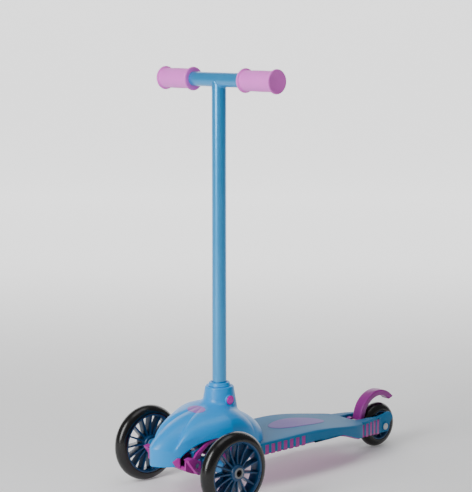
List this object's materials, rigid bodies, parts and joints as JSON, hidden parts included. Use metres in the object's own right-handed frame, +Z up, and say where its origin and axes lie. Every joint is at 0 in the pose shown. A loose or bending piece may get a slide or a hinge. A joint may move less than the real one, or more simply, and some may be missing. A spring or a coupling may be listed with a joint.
{
  "type": "kick scooter",
  "caption": "Toddler kick scooter with two front wheels, one braked rear wheel, lean-to-steer knuckles under a smooth hood, and a lift-out T-bar.",
  "frame": {"origin": "on the ground, under the middle of the scooter's outline", "axes": "+Z up, +X towards the front wheels, +Y to the rider's left"},
  "size_m": [0.5231, 0.262, 0.6513],
  "materials": {
    "blue_shell": "smooth injection moulded, glossy",
    "pink_lower_shell": "smooth injection moulded, glossy",
    "magenta_brake": "smooth injection moulded, satin gloss",
    "lilac_pad": "soft translucent inlay, satin",
    "badge_film": "plain printed oval, satin",
    "pink_button": "polished",
    "blue_collar": "smooth moulded",
    "blue_painted_tube": "metallic powder coat, glossy",
    "pink_grip": "soft touch thermoplastic rubber, satin",
    "blue_nylon": "moulded, satin",
    "knuckle_nylon": "glass filled nylon, satin",
    "blue_rim": "moulded, glossy",
    "black_tyre": "polished polyurethane",
    "black_nylon": "moulded, satin",
    "grey_bush": "turned, zinc plated",
    "zinc_steel": "zinc plated"
  },
  "bodies": {
    "chassis": {"deck_top": "blue_shell", "deck_base": "pink_lower_shell", "foot_pad": "lilac_pad", "deck_screws": "zinc_steel", "hood": "blue_shell", "hood_badge": "badge_film", "neck_collar": "blue_collar", "column_socket": "blue_nylon", "steering_column": "blue_painted_tube", "column_foot": "black_nylon", "crossbar": "blue_painted_tube", "grip_left": "pink_grip", "grip_right": "pink_grip", "front_tray": "pink_lower_shell", "steering_bridge": "blue_nylon", "bridge_screws": "zinc_steel", "tray_screws": "zinc_steel", "kingpins": "zinc_steel", "kingpin_nuts": "zinc_steel", "rear_axle": "zinc_steel", "rear_axle_nut": "zinc_steel", "rear_spacers": "zinc_steel", "brake_pin": "zinc_steel", "brake_spring": "zinc_steel", "lock_spring": "zinc_steel", "centring_springs": "zinc_steel"},
    "knuckle_left_body": {"knuckle_left": "knuckle_nylon", "knuckle_bushes_left": "black_nylon", "axle_bolt_left": "zinc_steel", "washer_left": "zinc_steel", "tie_pin_left": "zinc_steel"},
    "knuckle_right_body": {"knuckle_right": "knuckle_nylon", "knuckle_bushes_right": "black_nylon", "axle_bolt_right": "zinc_steel", "washer_right": "zinc_steel", "tie_pin_right": "zinc_steel"},
    "tie_rod_body": {"tie_rod": "zinc_steel"},
    "front_wheel_left": {"rim_left": "blue_rim", "tyre_left": "black_tyre", "wheel_bushes_left": "grey_bush"},
    "front_wheel_right": {"rim_right": "blue_rim", "tyre_right": "black_tyre", "wheel_bushes_right": "grey_bush"},
    "rear_wheel": {"rear_rim": "blue_rim", "rear_tyre": "black_tyre", "rear_bushes": "grey_bush"},
    "brake": {"brake_fender": "magenta_brake"},
    "button": {"release_button": "pink_button"},
    "lock": {"lock_pin": "zinc_steel"}
  },
  "joints": [
    {"name": "steer_left", "type": "hinge", "parent": "chassis", "child": "knuckle_left_body", "pos_m": [0.1995, 0.033, 0.066], "axis": [0.342, 0, 0.9397], "range_deg": [-12, 12], "stiffness_Nm_per_rad": 6, "deforming": ["centring_springs"]},
    {"name": "steer_right", "type": "hinge", "parent": "chassis", "child": "knuckle_right_body", "pos_m": [0.1995, -0.033, 0.066], "axis": [0.342, 0, 0.9397], "range_deg": [-12, 12], "stiffness_Nm_per_rad": 6},
    {"name": "tie_rod_swing", "type": "hinge", "parent": "knuckle_left_body", "child": "tie_rod_body", "pos_m": [0.17507, 0.033, 0.07489], "axis": [0.342, 0, 0.9397], "range_deg": [-12, 12]},
    {"name": "spin_left", "type": "hinge", "parent": "knuckle_left_body", "child": "front_wheel_left", "pos_m": [0.1895, 0.105, 0.06], "axis": [0, 1, 0], "continuous": true},
    {"name": "spin_right", "type": "hinge", "parent": "knuckle_right_body", "child": "front_wheel_right", "pos_m": [0.1895, -0.105, 0.06], "axis": [0, 1, 0], "continuous": true},
    {"name": "spin_rear", "type": "hinge", "parent": "chassis", "child": "rear_wheel", "pos_m": [-0.2235, 0, 0.038], "axis": [0, 1, 0], "continuous": true},
    {"name": "brake_press", "type": "hinge", "parent": "chassis", "child": "brake", "pos_m": [-0.1725, 0, 0.05], "axis": [0, -1, 0], "range_deg": [0, 10.3], "stiffness_Nm_per_rad": 0.6, "springref_deg": -20.05, "deforming": ["brake_spring"]},
    {"name": "button_press", "type": "slide", "parent": "chassis", "child": "button", "axis": [0, -1, 0], "range_m": [0, 0.0036], "stiffness_N_per_m": 900, "springref_m": -0.002, "deforming": ["lock_spring"]},
    {"name": "lock_pin_slide", "type": "slide", "parent": "chassis", "child": "lock", "axis": [0, -1, 0], "range_m": [0, 0.0036]}
  ],
  "couplings": [
    {"joint": "steer_right", "follows": "steer_left", "ratio": 1},
    {"joint": "tie_rod_swing", "follows": "steer_left", "ratio": -1},
    {"joint": "lock_pin_slide", "follows": "button_press", "ratio": 1}
  ]
}
